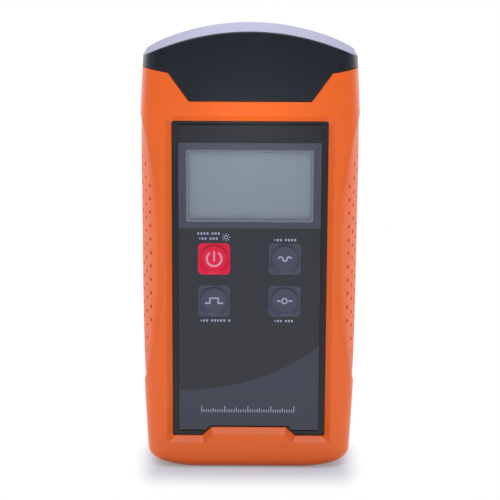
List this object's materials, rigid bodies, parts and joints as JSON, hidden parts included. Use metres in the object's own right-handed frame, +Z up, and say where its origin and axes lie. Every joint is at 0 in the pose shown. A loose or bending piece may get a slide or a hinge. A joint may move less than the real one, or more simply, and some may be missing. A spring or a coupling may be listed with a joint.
{
  "type": "optical power meter",
  "caption": "Hand-held optical power meter: orange two-part case with dimpled side grips, bevelled window with display and round keys, and a hinged domed dust cover over fibre ports.",
  "frame": {"origin": "middle of the flat foot that the meter stands on, at mid-depth of the case", "axes": "+Z up along the meter's length, -Y out of the front face with the display, +X to the right as seen from the front"},
  "size_m": [0.093, 0.0476, 0.19],
  "materials": {
    "case_orange": "satin",
    "grip_orange": "matte",
    "cover_black": "satin",
    "bezel_black": "satin",
    "film_grey": "satin",
    "window_clear": "polished",
    "lcd_grey": "polished",
    "diffuser_white": "satin",
    "elastomer_black": "matte",
    "board_green": "satin",
    "chip_black": "satin",
    "screw_steel": "satin",
    "contact_steel": "satin",
    "nickel_brass": "satin",
    "module_steel": "satin",
    "cell_jacket": "satin",
    "key_red": "satin",
    "key_grey": "satin"
  },
  "bodies": {
    "case": {"front_shell": "case_orange", "rear_shell": "case_orange", "grip_left": "grip_orange", "grip_right": "grip_orange", "bezel_plate": "bezel_black", "panel_film": "film_grey", "display_window": "window_clear", "display_glass": "lcd_grey", "display_backlight": "diffuser_white", "display_connector": "elastomer_black", "display_holder": "diffuser_white", "main_board": "board_green", "board_chips": "chip_black", "board_screws": "screw_steel", "key_switches": "chip_black", "case_screws": "screw_steel", "battery_contact_top": "contact_steel", "battery_contact_bottom": "contact_steel", "port_plate": "bezel_black", "port_screws": "screw_steel", "detector_module": "module_steel", "laser_module": "module_steel", "input_port": "nickel_brass", "output_port": "nickel_brass", "battery_cell_1": "cell_jacket", "battery_cell_2": "cell_jacket", "battery_cell_3": "cell_jacket", "hinge_pin": "screw_steel"},
    "dust_cover": {"dust_cover": "cover_black"},
    "battery_door": {"battery_door": "case_orange"},
    "power_key": {"power_key": "key_red"},
    "wavelength_key": {"wavelength_key": "key_grey"},
    "mode_key": {"mode_key": "key_grey"},
    "reference_key": {"reference_key": "key_grey"}
  },
  "joints": [
    {"name": "cover_hinge", "type": "hinge", "parent": "case", "child": "dust_cover", "pos_m": [0, 0.0234, 0.17285], "axis": [-1, 0, 0], "range_deg": [0, 160]},
    {"name": "battery_door_release", "type": "slide", "parent": "case", "child": "battery_door", "axis": [0, 1, 0], "range_m": [0, 0.02]},
    {"name": "power_key_press", "type": "slide", "parent": "case", "child": "power_key", "axis": [0, 1, 0], "range_m": [0, 0.0006], "stiffness_N_per_m": 800},
    {"name": "wavelength_key_press", "type": "slide", "parent": "case", "child": "wavelength_key", "axis": [0, 1, 0], "range_m": [0, 0.0006], "stiffness_N_per_m": 800},
    {"name": "mode_key_press", "type": "slide", "parent": "case", "child": "mode_key", "axis": [0, 1, 0], "range_m": [0, 0.0006], "stiffness_N_per_m": 800},
    {"name": "reference_key_press", "type": "slide", "parent": "case", "child": "reference_key", "axis": [0, 1, 0], "range_m": [0, 0.0006], "stiffness_N_per_m": 800}
  ]
}
